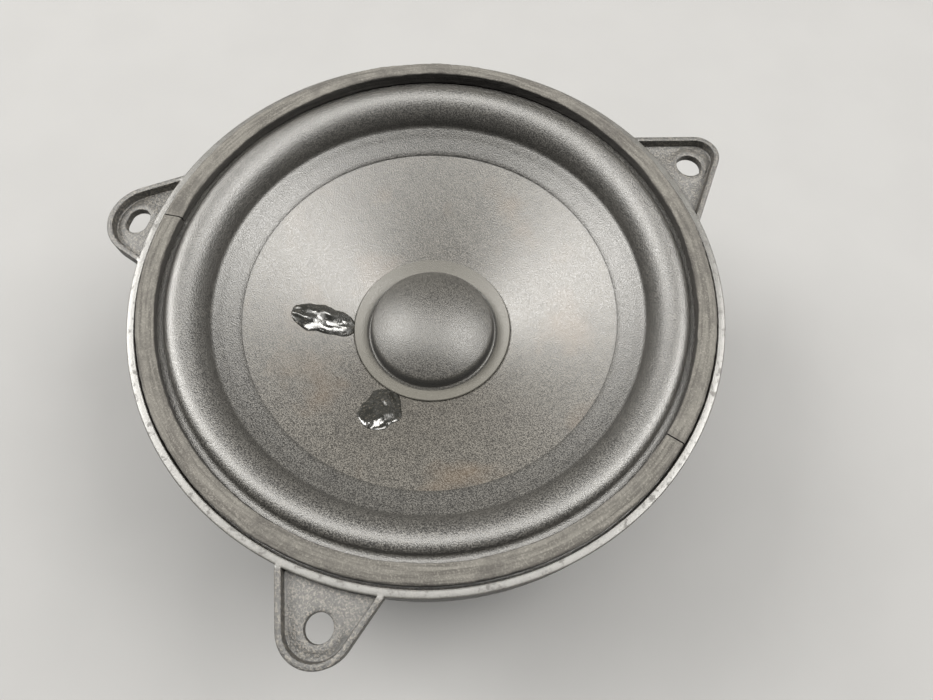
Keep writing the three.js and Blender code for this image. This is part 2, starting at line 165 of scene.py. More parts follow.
def lathe(name, profile, sides=SIDES, shift=None, closed=True):
    """Turns [radius, height] points, in mm, about Z. shift(r, z, turn) may move a point, in mm."""

    def make(bm):
        rings = []
        for k in range(sides):
            turn = 2 * math.pi * k / sides
            ring = []
            for r, z in profile:
                rr, zz = shift(r, z, turn) if shift else (r, z)
                place = Vector((rr * math.cos(turn), rr * math.sin(turn), zz)) * MM
                ring.append(bm.verts.new(place))
            rings.append(ring)
        last = len(profile) if closed else len(profile) - 1
        for k in range(sides):
            here, there = rings[k], rings[(k + 1) % sides]
            for i in range(last):
                j = (i + 1) % len(profile)
                if profile[i][0] <= 0 and profile[j][0] <= 0:
                    continue
                bm.faces.new((here[i], there[i], there[j], here[j]))
        bmesh.ops.remove_doubles(bm, verts=bm.verts, dist=1e-8)
        bmesh.ops.recalc_face_normals(bm, faces=bm.faces)

    return new_object(name, make)


def loft(name, rings, closed=False, capped=True):
    """Joins rings of equal length, each a list of points in mm, into one skin."""

    def make(bm):
        made = [[bm.verts.new(Vector(p) * MM) for p in ring] for ring in rings]
        count = len(made)
        for k in range(count if closed else count - 1):
            here, there = made[k], made[(k + 1) % count]
            size = len(here)
            for i in range(size):
                j = (i + 1) % size
                bm.faces.new((here[i], here[j], there[j], there[i]))
        if capped and not closed:
            bm.faces.new(made[0][::-1])
            bm.faces.new(made[-1])
        bmesh.ops.recalc_face_normals(bm, faces=bm.faces)

    return new_object(name, make)


def box_between(name, low, high, bevel=0.0, segments=2):
    """A box from low to high, in mm, with bevelled edges."""

    def make(bm):
        bmesh.ops.create_cube(bm, size=1)
        size = Vector(high) - Vector(low)
        middle = (Vector(high) + Vector(low)) / 2
        for v in bm.verts:
            v.co = Vector(a * b for a, b in zip(v.co, size)) * MM + middle * MM
        if bevel:
            bmesh.ops.bevel(
                bm, geom=bm.edges[:], offset=bevel * MM, segments=segments, profile=0.5, affect="EDGES"
            )

    return new_object(name, make)


def cut(body, tool, operation="DIFFERENCE"):
    """Applies a boolean to body and removes the tool."""
    modifier = body.modifiers.new("cut", "BOOLEAN")
    modifier.operation = operation
    modifier.solver = "EXACT"
    modifier.object = tool
    bpy.context.view_layer.update()
    graph = bpy.context.evaluated_depsgraph_get()
    mesh = bpy.data.meshes.new_from_object(body.evaluated_get(graph))
    body.modifiers.clear()
    old = body.data
    body.data = mesh
    bpy.data.meshes.remove(old)
    bpy.data.objects.remove(tool)
    return body


def drill(body, places, low, high, radius=1.5):
    """Drills body along Z at each (x, y) place, from low to high."""
    for x, y in places:
        tool = lathe("drill", block(0, radius, low, high), 32)
        cut(body, move(tool, x, y, 0))


def turn_about_z(obj, degrees):
    obj.data.transform(Matrix.Rotation(math.radians(degrees), 4, "Z"))
    return obj


def move(obj, x, y, z):
    obj.data.transform(Matrix.Translation(Vector((x, y, z)) * MM))
    return obj


def thickened(line, thickness):
    """A closed profile: line runs from outside to inside, and the back face lies thickness below it.

    The thickness may be one number, or a function of the radius.
    """
    under = []
    for i, (r, z) in enumerate(line):
        thick = thickness(r) if callable(thickness) else thickness
        r0, z0 = line[max(i - 1, 0)]
        r1, z1 = line[min(i + 1, len(line) - 1)]
        run = math.hypot(r1 - r0, z1 - z0)
        shifted = 0 if r == 0 else r - thick * (z1 - z0) / run
        under.append((shifted, z + thick * (r1 - r0) / run))
    return line + under[::-1]


def rough_noise(x, y, z, scale):
    return noise.noise(Vector((x, y, z)) * scale)


# ---- materials ----
class Look:
    """A node material whose colour, roughness and relief vary in object space."""

    def __init__(self, name, color, rough, metal=0.0, **sockets):
        self.material = bpy.data.materials.new(name)
        self.material.use_nodes = True
        self.material.diffuse_color = (*color, 1)
        self.tree = self.material.node_tree
        self.shader = self.tree.nodes["Principled BSDF"]
        self.color = color
        self.set("Base Color", (*color, 1))
        self.set("Roughness", rough)
        self.set("Metallic", metal)
        for key, value in sockets.items():
            self.set(key.replace("_", " "), value)
        self.coords = self.tree.nodes.new("ShaderNodeTexCoord").outputs["Object"]
        self.rough = rough
        self.relief = None

    def set(self, socket, value):
        self.shader.inputs[socket].default_value = value

    def node(self, kind, **values):
        node = self.tree.nodes.new("ShaderNode" + kind)
        for key, value in values.items():
            setattr(node, key, value)
        return node

    def link(self, source, target):
        self.tree.links.new(source, target)

    def math(self, operation, a, b=0.0, clamp=False):
        node = self.node("Math", operation=operation, use_clamp=clamp)
        for slot, value in ((0, a), (1, b)):
            if isinstance(value, (int, float)):
                node.inputs[slot].default_value = value
            else:
                self.link(value, node.inputs[slot])
        return node.outputs[0]

    def split(self):
        """The object-space x, y and z, and the distance from the speaker's axis, in metres."""
        parts = self.node("SeparateXYZ")
        self.link(self.coords, parts.inputs[0])
        x, y, z = parts.outputs
        square = self.math("ADD", self.math("MULTIPLY", x, x), self.math("MULTIPLY", y, y))
        return x, y, z, self.math("SQRT", square)

    def noise(self, scale, detail=2.0, rough=0.5, coords=None):
        node = self.node("TexNoise")
        node.inputs["Scale"].default_value = scale
        node.inputs["Detail"].default_value = detail
        node.inputs["Roughness"].default_value = rough
        self.link(coords or self.coords, node.inputs["Vector"])
        return node.outputs["Fac"]

    def ring_noise(self, across, along, detail=2.0):
        """Noise in streaks that run round the axis: across and along are its scales, per metre."""
        x, y, z, r = self.split()
        vector = self.node("CombineXYZ")
        self.link(self.math("MULTIPLY", r, across), vector.inputs[0])
        self.link(self.math("MULTIPLY", z, across), vector.inputs[1])
        self.link(self.math("MULTIPLY", x, along), vector.inputs[2])
        node = self.node("TexNoise", noise_dimensions="4D")
        node.inputs["Scale"].default_value = 1
        node.inputs["Detail"].default_value = detail
        self.link(vector.outputs[0], node.inputs["Vector"])
        self.link(self.math("MULTIPLY", y, along), node.inputs["W"])
        return node.outputs["Fac"]

    def cells(self, scale, feature="F1"):
        node = self.node("TexVoronoi", feature=feature)
        node.inputs["Scale"].default_value = scale
        self.link(self.coords, node.inputs["Vector"])
        return node.outputs["Distance"]

    def upward(self):
        """How far the surface faces up: 1 on a level face, 0 on a wall."""
        parts = self.node("SeparateXYZ")
        self.link(self.node("NewGeometry").outputs["Normal"], parts.inputs[0])
        return parts.outputs[2]

    def ramp(self, value, low, high, start=0.0, end=1.0):
        node = self.node("MapRange", clamp=True)
        for key, number in zip(("From Min", "From Max", "To Min", "To Max"), (low, high, start, end)):
            node.inputs[key].default_value = number
        self.link(value, node.inputs["Value"])
        return node.outputs["Result"]

    def tint(self, share, color):
        """Mixes the colour so far towards color by share."""
        mix = self.node("Mix", data_type="RGBA")
        old = self.shader.inputs["Base Color"]
        if old.is_linked:
            self.link(old.links[0].from_socket, mix.inputs["A"])
        else:
            mix.inputs["A"].default_value = old.default_value[:]
        mix.inputs["B"].default_value = (*color, 1)
        self.link(share, mix.inputs["Factor"])
        self.link(mix.outputs["Result"], old)
        return self

    def roughen(self, share, amount):
        """Adds share times amount to the roughness."""
        old = self.shader.inputs["Roughness"]
        base = old.links[0].from_socket if old.is_linked else self.rough
        self.link(self.math("ADD", base, self.math("MULTIPLY", share, amount), clamp=True), old)
        return self

    def raise_by(self, share, height_mm):
        """Adds share times height_mm of relief."""
        part = self.math("MULTIPLY", share, height_mm * MM)
        self.relief = self.math("ADD", self.relief, part) if self.relief else part
        return self

    def done(self, strength=1.0, edge_mm=0.0):
        """Wires the relief, and softens sharp edges by edge_mm. Returns the material."""
        normal = None
        if edge_mm:
            bevel = self.node("Bevel", samples=4)
            bevel.inputs["Radius"].default_value = edge_mm * MM
            normal = bevel.outputs[0]
        if self.relief:
            bump = self.node("Bump")
            bump.inputs["Strength"].default_value = strength
            bump.inputs["Distance"].default_value = 1
            self.link(self.relief, bump.inputs["Height"])
            if normal:
                self.link(normal, bump.inputs["Normal"])
            normal = bump.outputs[0]
        if normal:
            self.link(normal, self.shader.inputs["Normal"])
        return self.material


def moulded_plastic():
    """The basket: matte grained plastic, with a smoother bare band round the rim, painted paler: partly the
    band's own bare finish, partly a painted highlight of the light on its flat top.
    """
    look = Look("basket_plastic", (0.014, 0.0135, 0.0125), 0.42, Specular_IOR_Level=0.5)
    _, _, z, r = look.split()
    grain = look.noise(3100, 3, 0.65)
    fine = look.noise(900, 2, 0.5)
    look.tint(look.ramp(grain, 0.47, 0.6, 0, 0.8), (0.075, 0.068, 0.058))
    look.tint(look.ramp(look.noise(1900, 3, 0.7), 0.52, 0.62, 0, 0.7), (0.006, 0.006, 0.006))
    look.tint(look.ramp(fine, 0.55, 0.8, 0, 0.5), (0.012, 0.012, 0.012))
    on_top = look.ramp(z, (RIM_Z - 0.4) * MM, (RIM_Z - 0.1) * MM)
    on_band = look.ramp(r, (RIM_R - RIM_BAND - 0.1) * MM, (RIM_R - RIM_BAND + 0.25) * MM)
    off_ear = look.ramp(r, (RIM_R + 0.1) * MM, (RIM_R + 0.45) * MM, 1, 0)
    band = look.math("MULTIPLY", look.math("MULTIPLY", on_top, on_band), off_ear)
    # Painted highlight: the band's flat top is painted paler in worn patches, partly for its bare finish and
    # partly for the light it catches.
    scuff_and_highlight = look.ramp(look.noise(300, 4, 0.6), 0.4, 0.6, 0.6, 1)
    look.tint(look.math("MULTIPLY", band, scuff_and_highlight), (0.05, 0.049, 0.046))
    look.roughen(band, -0.17)
    chips = look.math("MULTIPLY", band, look.ramp(look.noise(700, 4, 0.75), 0.54, 0.62))
    look.tint(look.math("MULTIPLY", chips, 0.7), (0.014, 0.012, 0.01)).roughen(chips, 0.3)
    matte = look.math("SUBTRACT", 1.0, look.math("MULTIPLY", band, 0.85))
    look.roughen(grain, 0.12)
    look.raise_by(look.math("MULTIPLY", grain, matte), 0.15)
    look.raise_by(look.math("MULTIPLY", fine, matte), 0.03)
    return look.done(edge_mm=0.18)


def gasket_foam():
    look = Look("gasket_foam", (0.06, 0.057, 0.051), 0.88, Specular_IOR_Level=0.25)
    streak = look.ring_noise(2000, 110, 4)
    pores = look.noise(3200, 2, 0.6)
    look.tint(look.ramp(streak, 0.4, 0.6, 0, 0.85), (0.028, 0.026, 0.023))
    look.tint(look.ramp(pores, 0.5, 0.7, 0, 0.55), (0.1, 0.095, 0.086))
    look.tint(look.ramp(look.noise(210, 4, 0.7), 0.48, 0.68, 0, 0.7), (0.026, 0.024, 0.022))
    # Faces that stand up are painted darker than the top: painted shade on the gasket's walls.
    look.tint(look.ramp(look.upward(), 0.25, 0.75, 0.85, 0), (0.014, 0.013, 0.012))
    look.raise_by(streak, 0.2).raise_by(pores, 0.12)
    return look.done()


def speckled(name, color, flecks, rough, sheen, grain=0.055):
    """Coated paper or rubber: a dark ground with dense pale grain and a pebbled relief."""
    look = Look(name, color, rough, Specular_IOR_Level=sheen)
    fine = look.noise(4300, 2, 0.6)
    coarse = look.noise(420, 4, 0.55)
    look.tint(look.ramp(fine, 0.42, 0.62), flecks)
    look.tint(look.ramp(coarse, 0.48, 0.72, 0, 0.35), tuple(c * 0.6 for c in color))
    look.roughen(look.ramp(fine, 0.38, 0.62, -0.5, 0.5), 0.2)
    look.raise_by(fine, grain).raise_by(coarse, 0.04)
    return look


def surround_rubber():
    return speckled("surround_rubber", (0.01, 0.0096, 0.009), (0.042, 0.04, 0.036), 0.42, 0.68, 0.075).done()


def cone_paper():
    look = speckled("cone_paper", (0.012, 0.011, 0.0095), (0.052, 0.048, 0.041), 0.45, 0.7)
    look.tint(look.ramp(look.noise(55, 3, 0.6), 0.52, 0.7, 0, 0.5), (0.05, 0.034, 0.02))
    return look.done()


def cap_paper():
    """The dust cap: a smoother coated dome with a paler glued flange."""
    look = speckled("dust_cap_paper", (0.012, 0.0115, 0.0105), (0.036, 0.034, 0.03), 0.45, 0.5, 0.06)
    *_, r = look.split()
    flange = look.ramp(r, (CAP_R - 2.5) * MM, (CAP_R - 2.3) * MM)
    look.tint(look.math("MULTIPLY", flange, 0.7), (0.058, 0.055, 0.047))
    look.roughen(flange, 0.1)
    # Steep faces are painted near black: painted shade on the cap's wall.
    look.tint(look.ramp(look.upward(), 0.2, 0.5, 1, 0), (0.004, 0.004, 0.004))
    return look.done()


def glossy_glue():
    look = Look("black_glue", (0.008, 0.008, 0.007), 0.17, Specular_IOR_Level=0.6, Coat_Weight=0.3)
    look.set("Coat Roughness", 0.12)
    lumps = look.noise(700, 3, 0.6)
    specks = look.noise(2400, 3, 0.6)
    look.tint(look.ramp(specks, 0.56, 0.74, 0, 0.6), (0.07, 0.062, 0.05))
    look.roughen(look.ramp(lumps, 0.4, 0.7), 0.25)
    look.raise_by(lumps, 0.16).raise_by(specks, 0.03)
    return look.done()


def amber_film():
    look = Look("former_polyimide", (0.45, 0.26, 0.07), 0.35)
    ply = look.noise(700, 2)
    look.tint(look.ramp(ply, 0.4, 0.7, 0, 0.5), (0.33, 0.17, 0.04)).roughen(ply, 0.15)
    return look.raise_by(ply, 0.02).done()


def enamelled_copper():
    look = Look("coil_copper", (0.55, 0.16, 0.05), 0.3, 0.9)
    stain = look.noise(500, 3)
    look.tint(look.ramp(stain, 0.45, 0.7, 0, 0.6), (0.3, 0.07, 0.02)).roughen(stain, 0.2)
    return look.done()


def resin_cloth():
    """The spider: a woven cloth stiffened with amber resin."""
    look = Look("spider_cloth", (0.46, 0.27, 0.07), 0.85, Sheen_Weight=0.2)
    x, y, *_ = look.split()
    threads = []
    for axis in (x, y):
        wave = look.math("SINE", look.math("MULTIPLY", axis, 2 * math.pi / (0.55 * MM)))
        threads.append(look.ramp(wave, -1, 1))
    weave = look.math("MULTIPLY", threads[0], threads[1])
    look.tint(look.ramp(weave, 0.0, 0.5, 0.65, 0), (0.17, 0.085, 0.02))
    look.tint(look.ramp(look.noise(260, 3), 0.5, 0.75, 0, 0.5), (0.55, 0.36, 0.12))
    return look.raise_by(weave, 0.12).done()


def plated_steel(name="motor_steel", color=(0.5, 0.48, 0.4), rough=0.34):
    """Zinc-plated steel with turning marks."""
    look = Look(name, color, rough, 0.95)
    rings = look.ring_noise(9000, 12, 2)
    cloud = look.noise(120, 4, 0.6)
    look.tint(look.ramp(cloud, 0.4, 0.7, 0, 0.5), tuple(c * 0.55 for c in color))
    look.roughen(rings, 0.18).roughen(look.ramp(cloud, 0.45, 0.7), 0.14)
    return look.raise_by(rings, 0.012).done(edge_mm=0.15)


def ground_ferrite():
    look = Look("ferrite", (0.028, 0.028, 0.031), 0.62)
    grit = look.noise(2400, 3, 0.7)
    marks = look.ring_noise(5000, 25, 2)
    look.tint(look.ramp(grit, 0.52, 0.75), (0.075, 0.073, 0.072))
    look.roughen(marks, 0.2)
    return look.raise_by(grit, 0.03).raise_by(marks, 0.015).done(edge_mm=0.25)


def black_housing():
    look = Look("connector_plastic", (0.018, 0.018, 0.018), 0.42)
    grain = look.noise(2400, 3, 0.6)
    look.tint(look.ramp(grain, 0.5, 0.75, 0, 0.6), (0.045, 0.045, 0.045)).roughen(grain, 0.15)
    return look.raise_by(grain, 0.02).done(edge_mm=0.15)


def tin(name, color, rough):
    look = Look(name, color, rough, 0.95)
    dull = look.noise(1500, 3, 0.6)
    look.tint(look.ramp(dull, 0.45, 0.7, 0, 0.5), tuple(c * 0.6 for c in color)).roughen(dull, 0.2)
    return look.raise_by(dull, 0.02).done(edge_mm=0.08)


def tinsel_braid():
    look = Look("tinsel_braid", (0.6, 0.3, 0.14), 0.35, 0.8)
    strand = look.noise(3500, 2)
    look.tint(look.ramp(strand, 0.45, 0.6, 0, 0.7), (0.28, 0.11, 0.045)).roughen(strand, 0.3)
    return look.raise_by(strand, 0.03).done()


def open_foam():
    look = Look("brown_foam", (0.11, 0.065, 0.03), 1.0, Specular_IOR_Level=0.1)
    holes = look.cells(1700)
    # The low ground between the raised cells is painted darker: painted shade in the foam's pores.
    look.tint(look.ramp(holes, 0.15, 0.5), (0.03, 0.017, 0.008))
    look.tint(look.ramp(look.noise(700, 3), 0.55, 0.75, 0, 0.6), (0.2, 0.14, 0.08))
    return look.raise_by(look.ramp(holes, 0.1, 0.6, 1, 0), 0.25).done()


def milky_film():
    look = Look("clear_film", (0.42, 0.46, 0.52), 0.25, Alpha=0.6, Specular_IOR_Level=0.6)
    haze = look.noise(900, 3)
    look.tint(look.ramp(haze, 0.4, 0.7, 0, 0.5), (0.3, 0.33, 0.38)).roughen(haze, 0.25)
    return look.done()


def dress(obj, material, slot, body, *replaced):
    """Gives a piece its material, and lets it ride on a body in place of CAD nodes. The slot is not used."""
    obj.data.materials.clear()
    obj.data.materials.append(material)
    if body:
        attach(obj, body)
    if replaced:
        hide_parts(*replaced)
    return obj


def flex(obj, share):
    """Bakes a piece's placement into its mesh, and works out share(point) for each point: 0 on the basket, 1
    on the cone. The shares are not used.
    """
    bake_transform(obj)
    shares = [share(i, v.co / MM) for i, v in enumerate(obj.data.vertices)]
    return obj


def smooth(t):
    t = min(1.0, max(0.0, t))
    return t * t * (3 - 2 * t)


def radius_of(point):
    return math.hypot(point.x, point.y)


# ---- camera, light and floor ----
CAMERA_PLACE = Vector((0.1372, -1.0664, 1.9408))  # in rim radii from the middle of the rim's plane
CAMERA_TILT = math.radians(23.18)  # from straight down
CAMERA_ROLL = math.radians(3.468)
CAMERA_LENS = 25.08
SENSOR = 36.0


def make_camera():
    down = Vector((0, -math.cos(CAMERA_TILT), -math.sin(CAMERA_TILT)))
    forward = Vector((0, math.sin(CAMERA_TILT), -math.cos(CAMERA_TILT)))
    across = Vector((1, 0, 0))
    right = across * math.cos(CAMERA_ROLL) - down * math.sin(CAMERA_ROLL)
    low = across * math.sin(CAMERA_ROLL) + down * math.cos(CAMERA_ROLL)
    axes = Matrix((right, -low, -forward)).transposed().to_4x4()
    place = TO_VIEW @ (CAMERA_PLACE * RIM_R * MM) + Vector((0, 0, RIM_Z * MM))
    data = bpy.data.cameras.new("camera")
    data.lens = CAMERA_LENS
    data.sensor_width = SENSOR
    data.clip_start = 0.005
    camera = add_object("camera", data)
    camera.matrix_world = Matrix.Translation(place) @ TO_VIEW @ axes
    bpy.context.scene.camera = camera


def area_light(name, place, aim, size, watts, color=(1, 1, 1)):
    """A soft box: place and aim are in metres, with X to the camera's right and Y away from it."""
    data = bpy.data.lights.new(name, "AREA")
    data.shape = "RECTANGLE"
    data.size, data.size_y = size
    data.energy = watts
    data.color = color
    spot, target = TO_VIEW @ Vector(place), TO_VIEW @ Vector(aim)
    facing = (target - spot).to_track_quat("-Z", "Y").to_matrix().to_4x4()
    add_object(name, data).matrix_world = Matrix.Translation(spot) @ facing


def from_above(bearing, height, distance=0.8):
    """A place for a light, in degrees: bearing is anticlockwise from the camera's right."""
    turn, rise = math.radians(bearing), math.radians(height)
    level = distance * math.cos(rise)
    return level * math.cos(turn), level * math.sin(turn), distance * math.sin(rise)


def make_lights():
    target = (0, 0, 0.03)
    warm = (1, 0.98, 0.935)
    area_light("left_window", from_above(160, 45), target, (0.44, 0.38), 15.5, warm)
    area_light("right_window", from_above(12, 52), target, (0.52, 0.36), 14.5, warm)
    area_light("ceiling", from_above(90, 83), target, (0.86, 0.42), 12.2, warm)
    world = bpy.data.worlds.new("studio")
    world.use_nodes = True
    background = world.node_tree.nodes["Background"]
    background.inputs["Color"].default_value = (0.94, 0.97, 1, 1)
    background.inputs["Strength"].default_value = 0.12
    bpy.context.scene.world = world
    bpy.context.scene.view_settings.view_transform = "Standard"


def make_floor():
    def make(bm):
        bmesh.ops.create_grid(bm, x_segments=8, y_segments=8, size=1.5)

    floor = new_object("floor", make)
    look = Look("floor", (0.14, 0.14, 0.14), 0.9, Specular_IOR_Level=0.1)
    look.tint(look.ramp(look.noise(40, 3), 0.4, 0.6, 0, 0.3), (0.13, 0.13, 0.13))
    floor.data.materials.append(look.done())


# ---- basket ----
FLOOR_Z = PLATE_TOP + 2
SHELF_RISE = 2.3  # height of the spider's shelf above the basket's floor
LEDGE_Z = RIM_Z - 1.6
EAR_THICK = 3
EAR_POCKET = 1.65
EAR_LIP = 1.0
BOSS_WIDE = 1.25  # width of the raised ring round a hole
BOSS_RISE = 0.14
EAR_BACK = 13  # how far an ear's mesh runs in from its tip's centre, to be trimmed at the rim
WINDOWS = 12  # places for a window; the connector takes one of them
CONNECTOR_SIDE = -90


# The basket's outer wall, from its shoulder beside the motor up to the foot of the rim.
OUTER_WALL = [(31.5, PLATE_TOP + 2.3), (48.6, 29.4), (50.6, 31.1), (RIM_R, 33)]


def basket_profile():
    """The turned section of the basket, with each corner's radius beside it."""
    shoulder, low_bend, high_bend, rim_foot = OUTER_WALL
    skirt_r = PLATE_R + 0.4  # the skirt closes round the front plate
    band_r = RIM_R - RIM_BAND
    wall_r = RIM_R - 2.2
    ledge_r = 46.2
    shelf_r, shelf_z = 24.5, FLOOR_Z + SHELF_RISE
    mouth_r = 17.5
    corners = [
        ((skirt_r, PLATE_LOW + 0.5), 0.3), ((31, PLATE_LOW + 0.5), 0.5), (shoulder, 0.8), (low_bend, 0.8),
        (high_bend, 0.9), (rim_foot, 0.9), ((RIM_R, RIM_Z), 0.28), ((band_r, RIM_Z), 0.2),
        ((band_r, LEDGE_Z), 0.2), ((ledge_r, LEDGE_Z), 0.3), ((ledge_r, LEDGE_Z - 1.6), 0.3),
        ((wall_r, LEDGE_Z - 4.6), 0.8), ((wall_r, 33), 0.8), ((47.6, 31), 0.8), ((31, shelf_z), 0.5),
        ((shelf_r, shelf_z), 0.3), ((shelf_r, FLOOR_Z), 0.5), ((mouth_r, FLOOR_Z), 0.4),
        ((mouth_r, PLATE_TOP + 0.1), 0.2), ((skirt_r, PLATE_TOP + 0.1), 0.1),
    ]
    return rounded([point for point, _ in corners], [radius for _, radius in corners])


def ear_sides(ear):
    """The outward bearings of the ear's two sides: the clockwise one, then the other."""
    return math.radians(ear["before"]) - math.pi / 2, math.pi / 2 - math.radians(ear["after"])


def ear_ring(ear, inset, z, count=144):
    """One ring of the ear's outline, inset from its edge, about its tip's centre along +X."""
    tip = ear["tip"] - inset
    first, last = ear_sides(ear)
    ring = []
    for k in range(count):
        a = -math.pi + 2 * math.pi * k / count
        off = first - a if a < first else max(0.0, a - last)
        reach = tip / max(math.cos(off), 1e-3)
        if math.cos(a) < -1e-3:
            reach = min(reach, -EAR_BACK / math.cos(a))
        ring.append((ear["r"] + reach * math.cos(a), reach * math.sin(a), z))
    return ring


def held_in(ear, x, y, inset):
    """Moves a point that lies beyond the inset outline back onto it."""
    limit = ear["tip"] - inset
    first, last = ear_sides(ear)
    for side in (first, last):
        over = (x - ear["r"]) * math.cos(side) + y * math.sin(side) - limit
        if over > 0:
            x, y = x - over * math.cos(side), y - over * math.sin(side)
    far = math.hypot(x - ear["r"], y)
    if first < math.atan2(y, x - ear["r"]) < last and far > limit:
        x, y = ear["r"] + (x - ear["r"]) * limit / far, y * limit / far
    return x, y


def hole_ring(ear, radius, z, inset, count=144):
    """One ring about the ear's hole, kept inside the ear's inset outline."""
    ring = []
    for k in range(count):
        a = -math.pi + 2 * math.pi * (k + 0.5) / count
        x = ear["hole"] + radius * math.cos(a)
        y = ear["side"] + radius * math.sin(a) + math.copysign(ear["slot"], math.sin(a))
        ring.append((*held_in(ear, x, y, inset), z))
    return ring


def ear(spec, index):
    """A lipped ear as one skin: underside, outer wall, lip, pocket, boss and hole."""
    low, top = RIM_Z - EAR_THICK, RIM_Z
    floor = top - EAR_POCKET
    boss = floor + BOSS_RISE
    edge = 0.22
    outline = [
        (0.25, low), (0, low + 0.25), (0, top - edge), (edge * 0.3, top - edge * 0.3), (edge, top),
        (EAR_LIP - edge, top), (EAR_LIP - edge * 0.3, top - edge * 0.3), (EAR_LIP, top - edge),
        (EAR_LIP + 0.06, floor + 0.3), (EAR_LIP + 0.14, floor + 0.08), (EAR_LIP + 0.28, floor),
    ]
    rings = [ear_ring(spec, inset, z) for inset, z in outline]
    hole = spec["hole_r"]
    wide = hole + BOSS_WIDE
    circles = [
        (wide + 0.14, floor + 0.005, 0.4), (wide, floor + 0.08, 0.46), (wide - 0.06, boss - 0.06, 0.52),
        (wide - 0.18, boss, 0.6), (hole + 0.2, boss, 0.6), (hole + 0.06, boss - 0.06, 0),
        (hole, boss - 0.2, 0), (hole, low + 0.15, 0), (hole + 0.15, low, 0),
    ]
    rings += [hole_ring(spec, r, z, EAR_LIP + inset if inset else 0) for r, z, inset in circles]
    made = loft(f"ear_{index}", rings, closed=True)
    turn_about_z(made, spec["angle"])
    trim = lathe("trim", block(0, RIM_R - 0.6, low - 1, top + 1))
    return cut(made, trim)


def rivet_places():
    """The middle of each rivet, seen from the front."""
    boxes = [mm_box(f"plate_rivet_{i}") for i in (1, 2, 3)]
    return [((low.x + high.x) / 2, (low.y + high.y) / 2) for low, high in boxes]


def cut_blade_slots(body, front, back):
    """Cuts a slot round each terminal blade, from front to back along Y."""
    for i in (1, 2):
        low, high = mm_box(f"terminal_blade_{i}")
        cut(body, box_between("slot", (low.x - 0.1, front, low.z - 0.1), (high.x + 0.1, back, low.z + 0.9)))


def make_basket(material):
    body = lathe("basket_shell", basket_profile())
    envelope = lathe("envelope", [(0, PLATE_TOP), *OUTER_WALL, (RIM_R, RIM_Z), (0, RIM_Z)])
    cheeks = box_between("cheeks", (-11.5, -52, PLATE_TOP + 0.1), (11.5, -36, 29.5), 0.3)
    cut(body, cut(cheeks, envelope, "INTERSECT"), "UNION")
    for i, spec in enumerate(EARS):
        cut(body, ear(spec, i), "UNION")
    cut(body, box_between("notch", (-10.3, -60, 15), (10.3, -37.8, 28.3), 0.4))
    for i in range(1, WINDOWS):
        window = box_between("window", (29, -5.25, 21.2), (60, 5.25, 27.2), 1.1, 3)
        cut(body, turn_about_z(window, CONNECTOR_SIDE + 360 // WINDOWS * i))
    drill(body, rivet_places(), 10, FLOOR_Z + 1)
    cut_blade_slots(body, -38.8, -32.4)
    dress(shade(body, 30), material, "basket_plastic", "frame", "basket")


# ---- gasket ----
GASKET_IN = 46.6
GASKET_OUT = 49.9
GASKET_JOINTS = (24.8, 224.7)  # bearings of the two butt joints
JOINT_GAP = 0.14  # degrees left open at each end of a strip
DROP = 1.1  # how far the strip's lowest stretch lies below the CAD's top


def hill(degrees, middle, half_width):
    """1 at the middle bearing, falling smoothly to 0 at half_width degrees from it."""
    off = abs((degrees - middle + 180) % 360 - 180)
    return smooth(1 - off / half_width)


def make_gasket(index, start, end, material):
    """A foam strip laid round the rim, uneven in height and width, with cut ends."""
    low = GASKET_LOW + 0.02
    steps, bends = int((end - start) * 1.6), 5
    rings = []
    for k in range(steps + 1):
        degrees = start + JOINT_GAP + (end - start - 2 * JOINT_GAP) * k / steps
        seen = degrees - math.degrees(VIEW_TURN)
        high = GASKET_HIGH - DROP + 0.95 * hill(seen, 90, 75) + 0.3 * hill(seen, 270, 60)
        inner = GASKET_IN + 0.35 * hill(seen, 78, 50) - 0.35 * hill(seen, 140, 50) - 0.2 * hill(seen, 0, 30)
        section = rounded([(inner, low), (GASKET_OUT, low), (GASKET_OUT, high - 0.1), (inner, high)],
                          [0.1, 0.15, 0.8, 0.45], bends)
        turn = math.radians(degrees)
        c, s = math.cos(turn), math.sin(turn)
        ring = []
        for i, (r, z) in enumerate(section):
            r1, z1 = section[(i + 1) % len(section)]
            parts = 5 if i % (bends + 1) == bends else 1  # only the flats between corners are divided
            for part in range(parts):
                share = part / parts
                ring.append((r + (r1 - r) * share, z + (z1 - z) * share))
        for i, (r, z) in enumerate(ring):
            up = (z - low) / (high - low)
            wave = rough_noise(c * 9, s * 9, index + up, 1.0)
            fuzz = rough_noise(c * r, s * r, z, 0.9)
            skew = 0.25 * (r - GASKET_IN) / (GASKET_OUT - GASKET_IN) if k in (0, steps) else 0
            rr = r + 0.12 * wave * up + 0.08 * fuzz - (0.1 if r > 49.5 else 0)
            zz = z + 0.08 * up * (wave + fuzz)
            a = turn + math.radians(skew)
            ring[i] = (rr * math.cos(a), rr * math.sin(a), zz)
        rings.append(ring)
    obj = loft(f"gasket_strip_{index}", rings)
    dress(shade(obj, 50), material, "gasket_foam", "frame", f"gasket_segment_{index}")


